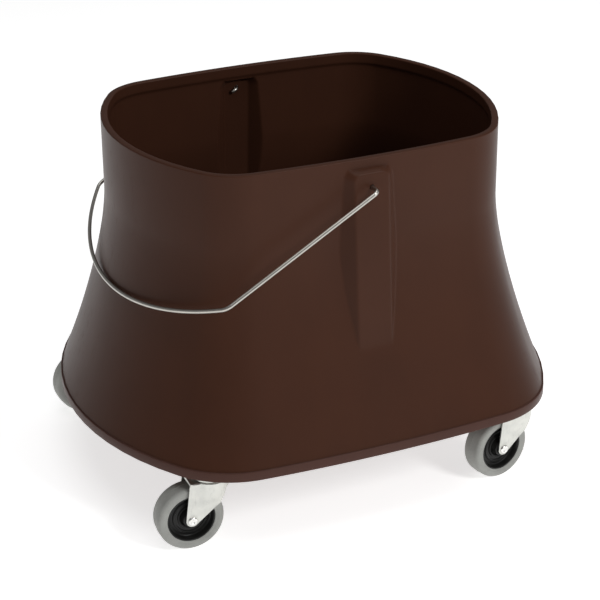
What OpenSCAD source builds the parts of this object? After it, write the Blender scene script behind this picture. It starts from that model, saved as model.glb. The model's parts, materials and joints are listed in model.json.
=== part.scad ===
// Flared wash bucket on four swivel casters, with a wire bail handle.
// Z is up and z = 0 is the floor. X runs along the long side and Y across it.
// The origin is on the floor, under the middle of the tub.

/* [Rim] */
// Length of the open rim, end to end
rim_l = 464; // [380:2:560]
// Width of the open rim
rim_w = 374; // [310:2:450]
// Height of the rim above the floor
rim_z = 438; // [360:2:530]
// Corner radius of the rim
rim_corner_r = 71; // [50:1:85]
// How far each end of the rim bows out between its corners
rim_end_bow = 34; // [20:1:42]
// How far each long side bows out between its corners, at the rim and at the base
side_bow = 6; // [3:0.5:9]
// Wall thickness of the thickened lip
lip_wall = 8.4; // [7:0.2:10]
// Depth of the thickened lip
lip_h = 12; // [8:1:20]

/* [Flared shell] */
// Length of the base, end to end
base_l = 594; // [500:2:710]
// Width of the base
base_w = 495; // [415:1:590]
// Corner radius of the base
base_corner_r = 111; // [90:1:135]
// How far each end of the base bows out between its corners
base_end_bow = 39; // [25:1:50]
// Wall thickness of the shell
wall = 6.5; // [5:0.25:8]
// Depth of the straight wall under the rim, before the flare starts
straight_h = 94; // [75:1:115]
// Shape of the flare: 1 is a straight cone, and more is a trumpet
flare_power = 1.5; // [1.2:0.05:1.8]

/* [Base pan] */
// Height of the band around the edge of the pan
band_h = 12; // [10:1:16]
// How far the band stands proud of the shell above it
band_proud = 2; // [1:0.5:3]
// Thickness of the floor
floor_t = 6; // [4.5:0.5:8]
// Height of the locating rib inside the shell
rib_h = 4; // [3:0.5:6]
// Wall round each caster socket
boss_wall = 3; // [2.5:0.5:4]

/* [Ears] */
// Width of an ear's flat face
ear_face_w = 41; // [36:1:48]
// How far the ear's sides spread out down to the wall
ear_draft = 8.5; // [5.5:1:9.5]
// Gap between the rim and the top of the ear
ear_drop = 13; // [11:1:16]
// How far the ear's face stands off the straight wall, at its top
ear_proud = 8.5; // [8:0.5:11]
// Slope of the ear's face, outwards on the way down
ear_slope = 4; // [3:0.25:5]
// Radius of the ear's top corners
ear_corner_r = 8; // [5:1:10]
// Depth of the bail's pivot below the rim
pivot_drop = 31; // [29:0.5:34]

/* [Bail] */
// Wire diameter
wire_d = 4.8; // [4:0.2:5.6]
// Radial clearance of the wire in its holes
wire_play = 0.6; // [0.4:0.1:1]
// Gap between an ear's face and the arm's centreline, at the pivot
bail_standoff = 15.5; // [13:0.5:18]
// Length of an arm, from the pivot to the bend
bail_arm = 212; // [200:1:230]
// How much each arm leans inwards along its length
bail_lean = 2; // [0:0.5:5]
// Distance from the pivot axis to the middle of the grip
bail_reach = 287.5; // [278:0.5:310]
// Bend radius between the arm and the grip
bail_bend_r = 15; // [10:1:20]
// Gap between the parked wire and the shell
bail_rest_gap = 0.5; // [0.4:0.1:2]
// Length of the hook inside each ear, from the pivot axis
hook_l = 9.5; // [8.5:0.5:10]

/* [Casters] */
// Wheel diameter
wheel_d = 80; // [66:1:88]
// Tyre width
tyre_w = 26; // [21:0.5:28]
// Tyre thickness
tyre_t = 11.4; // [9:0.2:12.4]
// Distance of the axle behind the swivel axis
trail = 27; // [24:0.5:30]
// Space between the top of the wheel and the fork's crown
crown_gap = 4.5; // [4:0.5:9]
// Sheet thickness of the fork
fork_t = 2; // [1.75:0.25:3]
// Running gap between a hub face and a fork leg
side_gap = 0.75; // [0.5:0.25:2]
// Radius of the fork's crown
crown_r = 22; // [21.5:0.5:24.5]
// Distance of a swivel axis from the end of the base
caster_inset_x = 97; // [80:1:115]
// Distance of a swivel axis from the long side of the base
caster_inset_y = 59; // [52:0.5:75]
// Parked swivel angle of the front left, front right, back left and back right caster
parked = [-4, 10, 3, -1]; // [-180:1:180]
// Stem diameter
stem_d = 11.1; // [9.5:0.1:12.7]
// Stem length inside its socket
stem_l = 35; // [30:1:36]
// Axle bolt diameter
axle_d = 6; // [5:0.5:7]
// Ball diameter
ball_d = 5; // [4.5:0.25:5.5]
// Number of balls in a race
ball_count = 14; // [10:1:16]
// Radius of the ball track
track_r = 17; // [16.5:0.25:17.5]

/* [Hidden] */
CORNERS = ["front_left", "front_right", "back_left", "back_right"];
PIECES = ["stem_socket", "stem", "grip_ring", "top_race", "balls", "lower_race",
          "fork", "axle_bolt", "axle_nut", "bushing", "hub", "tyre"];
$fn = 96;

touch = 0.01;           // overlap that makes a cut pass its face
fit = 0.06;             // radial running clearance of a pin or sleeve
wire_sides = 16;        // sides of the wire's tube
pin_over = 0.05;        // how far the round pins stand proud of the wire's flat sides
end_steps = 4;          // steps along half an end arc
corner_steps = 10;      // steps round a corner
side_steps = 4;         // steps along half a long side
flare_steps = 12;       // rings between the start of the flare and the seam
lip_edge = 1.2;         // chamfer on the lip's edges

// Caster stack, from the floor up
axle_z = wheel_d / 2;
hub_proud = 0.5;
fork_inner = tyre_w / 2 + hub_proud + side_gap;
fork_outer = fork_inner + fork_t;
crown_z = wheel_d + crown_gap;
crown_top = crown_z + 3;
ball_z = crown_top + 1.7;
race_ceiling = ball_z + ball_d / 2 + 0.1;
race_hub_z = race_ceiling - 1.6;
base_z = race_ceiling + 4.2;
kingpin_r = stem_d / 2 - 1;
// Bevel of the turned steel edges
turned_edge = 1.2;
washer_t = 2.7;
washer_gap = 0.3;
head_r = 7.5;
head_t = 2.6;
race_r = crown_r + 1.2;
skirt_t = 2;
leg_tip_r = 7.5;
leg_flat = sqrt(crown_r * crown_r - fork_outer * fork_outer);
leg_heel = trail + 1.5;
leg_knee = [leg_flat - 8, crown_z - 27];
skirt_drop = 11;
bushing_r = axle_d / 2 + 1.5;
hub_r = wheel_d / 2 - tyre_t;
hub_w = tyre_w + 2 * hub_proud;
hub_boss_r = 12;
hub_web = 3.5;
hub_ring_r = 19.5;
hub_rim_t = 4;
bolt_head_r = 5.6;
bolt_head_t = 2.6;
nut_af = 10;
nut_t = 5;
nut_chamfer = 1;

// Sockets in the base pan
socket_wall = 2.4;
socket_r = stem_d / 2 + socket_wall;
socket_top = base_z + stem_l + 1.5;
boss_r = socket_r + boss_wall;
boss_top = socket_top + boss_wall;
groove_top = base_z + stem_l - 4;
groove_h = 2.4;
groove_r = stem_d / 2 - 0.8;
ring_r = stem_d / 2 + 0.8;
gusset_t = 5;
gusset_l = 22;
gusset_top = base_z + 0.8 * (boss_top - base_z);

// Heights on the tub
seam_z = base_z + band_h;
flare_z = rim_z - straight_h;
pivot_z = rim_z - pivot_drop;
ear_top = rim_z - ear_drop;
caster_x = base_l / 2 - caster_inset_x;
caster_y = base_w / 2 - caster_inset_y;

// Points on an arc from angle a to angle b, without its last point
function arc(c, r, a, b, n) =
    [for (i = [0:n - 1]) let(t = a + (b - a) * i / n) c + r * [cos(t), sin(t)]];

// A quarter of the outline, from +X to +Y: end arc, corner arc and side arc, each tangent to
// the next. hl and hw are half the length and width, r is the corner radius, and e and s are
// the bows of the end and the side.
function quarter(hl, hw, r, e, s) =
    let(cx = hl - r - e,
        cy = hw - r - s,
        end_r = (pow(hl - cx, 2) + cy * cy - r * r) / (2 * e),
        side_r = (pow(hw - cy, 2) + cx * cx - r * r) / (2 * s),
        ea = asin(cy / (end_r - r)),
        sa = acos(cx / (side_r - r)))
    concat(arc([hl - end_r, 0], end_r, 0, ea, end_steps),
           arc([cx, cy], r, ea, sa, corner_steps),
           arc([0, hw - side_r], side_r, sa, 90, side_steps));

function turned(points, sx, sy) = [for (p = points) [p[0] * sx, p[1] * sy]];
function backwards(list) = [for (i = [len(list) - 1:-1:0]) list[i]];

// The whole outline, anticlockwise
function outline(hl, hw, r, e, s) =
    let(q = quarter(hl, hw, r, e, s),
        body = [for (i = [1:len(q) - 1]) q[i]],
        top = [[0, hw]],
        back = turned(backwards(body), -1, 1),
        left = [[-hl, 0]],
        under = turned(body, -1, -1),
        bottom = [[0, -hw]],
        close = turned(backwards(body), 1, -1))
    concat([q[0]], body, top, back, left, under, bottom, close);

function rim_outline(t) =
    outline(rim_l / 2 - t, rim_w / 2 - t, rim_corner_r - t, rim_end_bow, side_bow);
function base_outline(t) =
    outline(base_l / 2 - t, base_w / 2 - t, base_corner_r - t, base_end_bow, side_bow);

// Share of the way from the rim outline to the base outline at height z: the shell's foot is
// inside the band by band_proud.
foot_share = 1 - band_proud / ((base_l - rim_l) / 2);
function flare(z) = z >= flare_z ? 0 : foot_share * pow((flare_z - z) / (flare_z - seam_z), flare_power);
function ring_points(z, t) =
    let(a = rim_outline(t), b = base_outline(t), w = flare(z))
    [for (i = [0:len(a) - 1]) concat(a[i] + (b[i] - a[i]) * w, z)];
function half_l(z) = rim_l / 2 + (base_l - rim_l) / 2 * flare(z);
function half_w(z) = rim_w / 2 + (base_w - rim_w) / 2 * flare(z);

// Distance of an ear's face from the middle plane
function ear_face_y(z) = rim_w / 2 + ear_proud + (ear_top - z) * tan(ear_slope);

// Height where the flare, less the given depth, has grown out as far as an ear's face
function ear_foot(depth, lo = seam_z, hi = flare_z, tries = 24) =
    let(mid = (lo + hi) / 2)
    tries == 0 ? mid
    : half_w(mid) - depth > ear_face_y(mid) ? ear_foot(depth, mid, hi, tries - 1)
    : ear_foot(depth, lo, mid, tries - 1);

// A closed tube wall made of rings of points, each joined to the next and the last to the first
module ring_loft(rings) {
    n = len(rings[0]);
    m = len(rings);
    polyhedron(
        points = [for (ring = rings) each ring],
        faces = [for (k = [0:m - 1]) for (i = [0:n - 1])
            let(a = k * n, b = ((k + 1) % m) * n, j = (i + 1) % n)
            each [[a + i, b + j, a + j], [a + i, b + i, b + j]]],
        convexity = 6);
}

module shell_wall() {
    flare_levels = [for (i = [0:flare_steps])
        seam_z + (flare_z - seam_z) * (1 - pow(1 - i / flare_steps, 0.9))];
    outside = [for (z = flare_levels) [z, 0]];
    lip = [[rim_z - lip_edge, 0], [rim_z, lip_edge],
           [rim_z, lip_wall - lip_edge], [rim_z - lip_edge, lip_wall],
           [rim_z - lip_h, lip_wall], [rim_z - lip_h - (lip_wall - wall) * 2, wall]];
    inside = [for (z = backwards(flare_levels)) [z, wall]];
    ring_loft([for (level = concat(outside, lip, inside)) ring_points(level[0], level[1])]);
}

// Side view of an ear, in the plane x = 0: y is the distance from the middle, z the height. t
// moves the face and the top inwards, and depth is how far it reaches into the wall.
module ear_side(t, depth) {
    foot = ear_foot(depth - t);
    levels = [for (i = [1:flare_steps - 1]) foot + (ear_top - t - foot) * i / flare_steps];
    polygon(concat(
        [[ear_face_y(foot) - t, foot], [ear_face_y(ear_top) - t, ear_top - t],
         [rim_w / 2 - depth, ear_top - t]],
        [for (z = backwards(levels)) [half_w(z) - depth, z]]));
}

// Front view of an ear's top, with round corners. It runs past the foot.
module ear_front(w, top) {
    r = min(ear_corner_r, w / 3);
    polygon(concat([[w / 2, seam_z]], arc([w / 2 - r, top - r], r, 0, 90, 12),
                   arc([r - w / 2, top - r], r, 90, 180, 12), [[-w / 2, top - r], [-w / 2, seam_z]]));
}

// Plan of an ear: narrow at its face, and wider towards the wall
module ear_plan(w, reach) {
    polygon([[-w / 2, 0], [-w / 2 - reach, -reach], [w / 2 + reach, -reach], [w / 2, 0]]);
}

// An ear's body on the +Y side. t is the distance inside its outer faces.
module ear_block(t, depth) {
    reach = 60;
    w = ear_face_w - 1.4 * t;
    full_w = ear_face_w + 2 * ear_draft - 1.4 * t;
    intersection() {
        translate([-reach, 0, 0])
            rotate([90, 0, 90]) linear_extrude(2 * reach) ear_side(t, depth);
        translate([0, rim_w / 2 + ear_proud + 2 * reach, 0])
            rotate([90, 0, 0]) linear_extrude(4 * reach) ear_front(full_w, ear_top - t);
        translate([0, ear_face_y(flare_z) - t, flare_z])
            rotate([ear_slope, 0, 0]) translate([0, 0, -rim_z])
                linear_extrude(2 * rim_z) ear_plan(w, reach);
    }
}

module on_both_sides() {
    children();
    mirror([0, 1, 0]) children();
}

module bell_shell() color("#47291f") difference() {
    union() {
        shell_wall();
        on_both_sides() ear_block(0, wall / 2);
    }
    on_both_sides() ear_block(wall - 1, wall + 4);
    translate([0, rim_w, pivot_z]) rotate([90, 0, 0])
        cylinder(h = 2 * rim_w, r = wire_d / 2 + wire_play);
}

module at_corner(i) {
    x = (i % 2 == 0 ? -1 : 1) * caster_x;
    y = (i < 2 ? -1 : 1) * caster_y;
    translate([x, y, 0]) children();
}

module socket_boss() {
    cylinder(h = boss_top - base_z, r = boss_r);
    for (a = [45:90:315]) rotate([90, 0, a]) translate([0, 0, -gusset_t / 2])
        linear_extrude(gusset_t)
            polygon([[0, touch], [gusset_l, touch], [gusset_l, floor_t],
                     [boss_r - 1, gusset_top - base_z], [0, gusset_top - base_z]]);
}

// The locating rib clears the shell's sloping inner face
rib_gap = 1;
rib_t = 4;
rib_inset = base_l / 2 - half_l(seam_z + rib_h) + wall + rib_gap;

module base_pan() color("#4a2c22") difference() {
    union() {
        translate([0, 0, base_z]) linear_extrude(floor_t) polygon(base_outline(0));
        translate([0, 0, base_z]) linear_extrude(band_h) difference() {
            polygon(base_outline(0));
            polygon(base_outline(rib_inset + rib_t));
        }
        translate([0, 0, base_z]) linear_extrude(band_h + rib_h) difference() {
            polygon(base_outline(rib_inset));
            polygon(base_outline(rib_inset + rib_t));
        }
        for (i = [0:3]) at_corner(i) translate([0, 0, base_z]) socket_boss();
    }
    for (i = [0:3]) at_corner(i) translate([0, 0, base_z - 1])
        cylinder(h = socket_top - base_z + 1, r = socket_r);
}

// Tilt below the horizontal at which the wire meets the shell's end
wire_slope = 1.06;      // length along the sloping shell for a unit of height
function bail_gap(t) =
    bail_reach * cos(t) - half_l(pivot_z - bail_reach * sin(t)) - wire_d / 2 * wire_slope;
function bail_tilt(lo, hi, n) =
    let(mid = (lo + hi) / 2)
    n == 0 ? mid : bail_gap(mid) > bail_rest_gap ? bail_tilt(mid, hi, n - 1) : bail_tilt(lo, mid, n - 1);
rest_tilt = bail_tilt(0, 60, 24);

// The bail lies flat: x is the distance from the pivot axis, and y from the middle
pivot_y = ear_face_y(pivot_z) + bail_standoff;
hook_y = ear_face_y(pivot_z) - wall - wire_d / 2 - 0.6;
hook_r = wire_d * 0.9;
elbow_r = 6;
lean = atan(bail_lean / bail_arm);
along = [cos(lean), -sin(lean)];
across = [-sin(lean), -cos(lean)];
arm_start = [elbow_r, pivot_y - elbow_r] - elbow_r * across;
// The grip's arc passes through the arms' ends and the middle of the grip
sag = bail_reach - bail_arm;
grip_r = (pow(pivot_y - bail_lean, 2) + sag * sag) / (2 * sag);
grip_c = [bail_reach - grip_r, 0];
// The bend is tangent to the arm and, from inside, to the grip's arc
bend_line = arm_start + across * bail_bend_r - grip_c;
bend_along = bend_line * along;
bend_c = grip_c + bend_line + along
    * (sqrt(bend_along * bend_along + pow(grip_r - bail_bend_r, 2) - bend_line * bend_line) - bend_along);
grip_a = atan2(bend_c[1] - grip_c[1], bend_c[0] - grip_c[0]);

// Half of the wire's middle line, from the tip of a hook to the middle of the grip
half_line = concat(
    [[hook_l, hook_y]],
    arc([hook_r, hook_y + hook_r], hook_r, 270, 180, 6),
    [[0, hook_y + hook_r]],
    arc([elbow_r, pivot_y - elbow_r], elbow_r, 180, 90 - lean, 6),
    [arm_start],
    arc(bend_c, bail_bend_r, 90 - lean, grip_a, 6),
    arc(grip_c, grip_r, grip_a, 0, 12));

// A round wire along a flat line, as one closed tube
module flat_wire(line, r, sides) {
    last = len(line) - 1;
    ahead = [for (i = [0:last]) let(d = line[min(i + 1, last)] - line[max(i - 1, 0)]) d / norm(d)];
    points = [for (i = [0:last]) for (k = [0:sides - 1]) let(a = 360 * k / sides)
        [line[i][0] - ahead[i][1] * r * cos(a), line[i][1] + ahead[i][0] * r * cos(a), r * sin(a)]];
    walls = [for (i = [0:last - 1]) for (k = [0:sides - 1])
        let(n = (k + 1) % sides, a = i * sides, b = a + sides)
        each [[a + k, b + n, a + n], [a + k, b + k, b + n]]];
    ends = [[for (k = [0:sides - 1]) k], [for (k = [sides - 1:-1:0]) last * sides + k]];
    polyhedron(points, concat(walls, ends), convexity = 4);
}

module bail_handle() color("#b9b6ae")
    translate([0, 0, pivot_z]) rotate([0, -rest_tilt, 0]) rotate([0, 0, 180]) {
        flat_wire(concat(half_line, [[bail_reach, 0]], turned(backwards(half_line), 1, -1)),
                  wire_d / 2, wire_sides);
        // The round pins that turn in the ears
        on_both_sides() translate([0, pivot_y - elbow_r, 0]) rotate([90, 0, 0])
            cylinder(h = pivot_y - elbow_r - hook_y - hook_r, r = wire_d / 2 + pin_over);
    }

// The caster's pieces, with the swivel axis on z and the wheel trailing towards -X

module stem_socket() color("#8f8f8c") translate([0, 0, base_z]) difference() {
    cylinder(h = socket_top - base_z, r = socket_r);
    translate([0, 0, -touch]) cylinder(h = stem_l + 0.5, r = stem_d / 2 + fit);
    translate([0, 0, groove_top - base_z - groove_h]) cylinder(h = groove_h + 0.6, r = ring_r + 0.3);
}

module stem() color("#b8bab8") {
    shank_top = base_z + stem_l;
    head_z = crown_z - washer_gap - washer_t;
    rotate_extrude() polygon([
        [0, shank_top], [stem_d / 2 - turned_edge, shank_top], [stem_d / 2, shank_top - turned_edge],
        [stem_d / 2, groove_top], [groove_r, groove_top],
        [groove_r, groove_top - groove_h], [stem_d / 2, groove_top - groove_h],
        [stem_d / 2, race_hub_z], [kingpin_r, race_hub_z],
        [kingpin_r, head_z], [head_r, head_z], [head_r, head_z - head_t * 0.4],
        [head_r * 0.6, head_z - head_t], [0, head_z - head_t]]);
}

module grip_ring() color("#9a9c9c") translate([0, 0, groove_top - groove_h + 0.2]) difference() {
    cylinder(h = groove_h - 0.4, r = ring_r);
    translate([0, 0, -1]) cylinder(h = groove_h + 2, r = groove_r);
    translate([0, -1.2, -1]) cube([2 * ring_r, 2.4, groove_h + 2]);
}

module top_race() color("#c2c4c2") rotate_extrude() polygon([
    [stem_d / 2, base_z], [race_r - turned_edge, base_z], [race_r, base_z - turned_edge],
    [race_r, ball_z - 0.4], [race_r - skirt_t, ball_z - 0.4], [race_r - skirt_t, race_ceiling],
    [track_r - ball_d / 2 - 1, race_ceiling], [track_r - ball_d / 2 - 2.6, race_hub_z],
    [stem_d / 2, race_hub_z]]);

module balls() color("#d8d8d6")
    for (i = [0:ball_count - 1]) rotate([0, 0, 360 * i / ball_count])
        translate([track_r, 0, ball_z]) sphere(r = ball_d / 2);

module lower_race() color("#b0b2b0") translate([0, 0, crown_z - washer_gap - washer_t])
    rotate_extrude() polygon([
        [kingpin_r, 0], [head_r + 2.5, 0], [head_r + 4, turned_edge], [head_r + 4, washer_t], [kingpin_r, washer_t]]);

// Where the line from p touches the circle round c of radius r, on its right or its left
function tangent(c, r, p, side) =
    let(d = p - c, a = atan2(d[1], d[0]) + side * acos(r / norm(d)))
    c + r * [cos(a), sin(a)];

// One leg of the fork, flat and standing on its axle hole
module fork_leg() {
    axle = [-trail, axle_z];
    heel = [-leg_heel, crown_top];
    rotate([90, 0, 0]) linear_extrude(fork_t) difference() {
        union() {
            translate(axle) circle(r = leg_tip_r);
            polygon([heel, tangent(axle, leg_tip_r, heel, 1), axle,
                     tangent(axle, leg_tip_r, leg_knee, -1), leg_knee,
                     [leg_flat, crown_top - skirt_drop], [leg_flat, crown_top]]);
        }
        translate(axle) circle(r = axle_d / 2 + fit);
    }
}

module fork() color("#c9cac6") difference() {
    union() {
        translate([0, -fork_inner, 0]) fork_leg();
        translate([0, fork_outer, 0]) fork_leg();
        translate([0, 0, crown_z]) cylinder(h = crown_top - crown_z, r = crown_r);
        translate([-leg_heel, -fork_outer, crown_z])
            cube([leg_heel, 2 * fork_outer, crown_top - crown_z]);
        intersection() {
            translate([0, 0, crown_top - skirt_drop]) difference() {
                cylinder(h = skirt_drop, r = crown_r);
                translate([0, 0, -1]) cylinder(h = skirt_drop + 2, r = crown_r - fork_t);
            }
            translate([leg_flat - fork_t, -fork_outer, 0]) cube([crown_r, 2 * fork_outer, crown_top]);
        }
    }
    translate([0, 0, crown_z - 1]) cylinder(h = 5, r = kingpin_r + fit);
    translate([0, 0, ball_z]) rotate_extrude() translate([track_r, 0]) circle(r = ball_d / 2 + 0.1);
}

// The wheel's pieces are turned so that the axle lies along Y
module on_axle() {
    translate([-trail, 0, axle_z]) rotate([90, 0, 0]) children();
}

module bushing() color("#a7a9a7") on_axle() difference() {
    cylinder(h = 2 * fork_inner, r = bushing_r, center = true);
    cylinder(h = 2 * fork_inner + 2, r = axle_d / 2 + fit, center = true);
}

module axle_bolt() color("#d2d2ce") on_axle() {
    translate([0, 0, -fork_outer - nut_t - 1]) cylinder(h = 2 * fork_outer + nut_t + 1, r = axle_d / 2);
    translate([0, 0, fork_outer]) rotate_extrude() polygon(concat(
        [[0, 0], [bolt_head_r, 0]],
        [for (i = [0:8]) [bolt_head_r * cos(i * 10), 1 + (bolt_head_t - 1) * sin(i * 10)]],
        [[0, bolt_head_t]]));
}

module axle_nut() color("#c6c6c2") on_axle() translate([0, 0, -fork_outer - nut_t])
    difference() {
        union() {
            translate([0, 0, nut_chamfer]) cylinder(h = nut_t - nut_chamfer, r = nut_af / 2 / cos(30), $fn = 6);
            cylinder(h = nut_t, r = nut_af / 2 - 0.4);
        }
        translate([0, 0, -1]) cylinder(h = nut_t + 2, r = axle_d / 2 + 0.02);
    }

module hub() color("#1d1e1c") on_axle() {
    // One half of the hub's profile, from the bore outwards: boss, dish, ring and rim
    half = [[hub_boss_r - 2.5, hub_w / 2], [hub_boss_r - 1.5, hub_w / 2 - 1],
            [hub_boss_r + 1, hub_web + 5], [hub_ring_r - 1.2, hub_web + 3],
            [hub_ring_r - 0.6, hub_web + 4.4], [hub_ring_r + 0.6, hub_web + 4.4],
            [hub_ring_r + 1.2, hub_web + 2], [hub_r - hub_rim_t, hub_web + 1.4],
            [hub_r - hub_rim_t + 0.8, tyre_w / 2 - 1], [hub_r, tyre_w / 2 - 1]];
    bore_r = bushing_r + fit;
    rotate_extrude() polygon(concat([[bore_r, -hub_w / 2], [bore_r, hub_w / 2]], half,
        [for (p = backwards(half)) [p[0], -p[1]]]));
}

module tyre() color("#8c8d88") on_axle() rotate_extrude() polygon(concat(
    [[hub_r, 1 - tyre_w / 2], [hub_r + 2, 0.3 - tyre_w / 2], [wheel_d / 2 - 4.5, -tyre_w / 2]],
    [for (i = [0:12]) let(a = -72 + i * 12)
        [wheel_d / 2 - 4.5 + 4.5 * cos(a), tyre_w / 2 * sin(a) / sin(72) * 0.97]],
    [[wheel_d / 2 - 4.5, tyre_w / 2], [hub_r + 2, tyre_w / 2 - 0.3], [hub_r, tyre_w / 2 - 1]]));

module caster_piece(piece) {
    if (piece == "stem_socket") stem_socket();
    if (piece == "stem") stem();
    if (piece == "grip_ring") grip_ring();
    if (piece == "top_race") top_race();
    if (piece == "balls") balls();
    if (piece == "lower_race") lower_race();
    if (piece == "fork") fork();
    if (piece == "axle_bolt") axle_bolt();
    if (piece == "axle_nut") axle_nut();
    if (piece == "bushing") bushing();
    if (piece == "hub") hub();
    if (piece == "tyre") tyre();
}

bell_shell();
base_pan();
bail_handle();
for (i = [0:3]) for (piece = PIECES)
    at_corner(i) rotate([0, 0, parked[i]]) caster_piece(piece);
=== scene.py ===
import json
import math

import bmesh
import bpy
from bpy.props import FloatProperty, FloatVectorProperty, IntProperty, PointerProperty
from mathutils import Matrix, Vector


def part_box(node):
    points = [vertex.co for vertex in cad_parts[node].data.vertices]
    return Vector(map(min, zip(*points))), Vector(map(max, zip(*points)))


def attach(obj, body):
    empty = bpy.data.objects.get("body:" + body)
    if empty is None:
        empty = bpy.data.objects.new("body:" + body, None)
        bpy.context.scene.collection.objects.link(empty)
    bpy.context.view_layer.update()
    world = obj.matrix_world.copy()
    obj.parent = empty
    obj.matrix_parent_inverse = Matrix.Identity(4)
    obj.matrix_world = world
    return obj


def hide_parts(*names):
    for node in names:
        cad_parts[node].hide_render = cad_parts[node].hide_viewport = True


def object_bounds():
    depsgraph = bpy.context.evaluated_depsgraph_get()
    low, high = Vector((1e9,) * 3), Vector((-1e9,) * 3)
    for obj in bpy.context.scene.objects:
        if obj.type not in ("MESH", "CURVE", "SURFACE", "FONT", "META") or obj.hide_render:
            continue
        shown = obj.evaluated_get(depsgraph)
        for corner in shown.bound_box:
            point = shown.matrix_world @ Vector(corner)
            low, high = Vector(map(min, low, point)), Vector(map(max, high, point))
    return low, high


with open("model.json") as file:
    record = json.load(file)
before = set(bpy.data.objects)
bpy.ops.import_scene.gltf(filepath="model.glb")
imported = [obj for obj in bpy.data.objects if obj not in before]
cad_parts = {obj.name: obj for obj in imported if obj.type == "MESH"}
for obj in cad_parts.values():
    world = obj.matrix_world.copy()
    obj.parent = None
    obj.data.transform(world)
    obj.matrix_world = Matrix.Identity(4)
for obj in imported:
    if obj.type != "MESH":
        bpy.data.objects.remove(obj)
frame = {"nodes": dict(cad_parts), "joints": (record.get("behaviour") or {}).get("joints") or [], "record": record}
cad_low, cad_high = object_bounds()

bl_info = {
    "name": "Wash bucket",
    "version": (1, 0, 0),
    "blender": (4, 5, 0),
    "location": "3D View > Sidebar > Wash bucket",
    "description": "Makes a flared wash bucket with a wire bail and four swivel casters",
    "category": "Object",
}

MM = 0.001
CORNERS = ("front_left", "front_right", "back_left", "back_right")
JOINTS = {joint["name"]: joint for joint in frame["joints"]}
PIVOT = Vector(JOINTS["bail_hinge"]["pos_m"])
PAN_LOW, PAN_HIGH = (Vector(corner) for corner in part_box("base_pan"))
SHELL_LOW, SHELL_HIGH = (Vector(corner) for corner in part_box("bell_shell"))
BAIL_LOW, BAIL_HIGH = (Vector(corner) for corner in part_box("bail_handle"))


def length(name, description, default):
    return FloatProperty(name=name, description=description, default=default, unit="LENGTH",
                         subtype="DISTANCE", precision=4)


def colour(name, description, default):
    return FloatVectorProperty(name=name, description=description, default=default, size=3,
                               subtype="COLOR", min=0, max=1)


class TubSizes(bpy.types.PropertyGroup):
    rim_length: length("Rim length", "Length of the open rim", 0.464)
    rim_width: length("Rim width", "Width of the open rim", 0.374)
    rim_corner: length("Rim corner", "Corner radius of the rim", 0.071)
    rim_end_bow: length("Rim end bow", "How far each end of the rim bows out", 0.034)
    base_corner: length("Base corner", "Corner radius of the base", 0.111)
    base_end_bow: length("Base end bow", "How far each end of the base bows out", 0.039)
    side_bow: length("Side bow", "How far each long side bows out", 0.006)
    wall: length("Wall", "Thickness of the shell", 0.0065)
    lip_wall: length("Lip wall", "Thickness of the lip", 0.0084)
    lip_height: length("Lip height", "Height of the thick lip", 0.012)
    straight: length("Straight wall", "Height of the straight wall under the rim", 0.094)
    band_height: length("Band height", "Height of the band round the pan", 0.012)
    band_proud: length("Band step", "How far the band stands out from the shell", 0.002)
    floor: length("Floor", "Thickness of the pan's floor", 0.006)
    rib_height: length("Rib height", "Height of the rib that locates the shell", 0.004)
    boss_radius: length("Boss radius", "Outer radius of a caster's boss", 0.01095)
    boss_top: length("Boss top", "Height of a boss above the ground", 0.1355)
    ear_width: length("Ear width", "Width of an ear's flat face", 0.041)
    ear_drop: length("Ear drop", "Gap from the rim to the top of an ear", 0.013)
    ear_proud: length("Ear depth", "How far an ear stands off the wall at its top", 0.0085)
    ear_corner: length("Ear corner", "Radius of an ear's top corners", 0.008)
    ear_slope: FloatProperty(name="Ear slope", description="Outward slope of an ear's face",
                             default=math.radians(4), subtype="ANGLE", unit="ROTATION")
    hole_radius: length("Hole radius", "Radius of the bail's holes", 0.003)


class BailSizes(bpy.types.PropertyGroup):
    wire: length("Wire", "Diameter of the wire", 0.0048)
    arm: length("Arm", "Length of an arm from the pivot to the bend", 0.212)
    lean: length("Lean", "How far an arm leans inwards along its length", 0.002)
    reach: length("Reach", "Distance from the pivot to the middle of the grip", 0.2875)
    bend: length("Bend", "Bend radius between an arm and the grip", 0.015)
    elbow: length("Elbow", "Bend radius beside an ear", 0.006)
    hook: length("Hook", "Length of the hook inside an ear", 0.0095)
    sides: IntProperty(name="Sides", description="Sides of the wire", default=20, min=8, max=48)


class CasterSizes(bpy.types.PropertyGroup):
    wheel_radius: length("Wheel radius", "Radius over the tyre", 0.040)
    tyre_width: length("Tyre width", "Width of the tyre", 0.026)
    tyre_depth: length("Tyre depth", "Thickness of the tyre", 0.0114)
    hub_width: length("Hub width", "Width over the hub's faces", 0.027)
    sheet: length("Sheet", "Thickness of the fork's sheet", 0.002)
    side_gap: length("Side gap", "Gap between the hub and a leg", 0.00075)
    crown_radius: length("Crown radius", "Radius of the fork's crown", 0.022)
    crown_low: length("Crown underside", "Height of the crown's underside", 0.0845)
    crown_thick: length("Crown thickness", "Thickness of the crown", 0.003)
    skirt: length("Skirt", "Drop of the skirt below the crown's top", 0.011)
    tip_radius: length("Leg tip", "Radius of a leg's tip", 0.0075)
    race_radius: length("Race radius", "Outer radius of the upper race", 0.0232)
    axle_radius: length("Axle radius", "Radius of the axle bolt", 0.003)
    head_radius: length("Head radius", "Radius of the axle's head", 0.0056)


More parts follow.
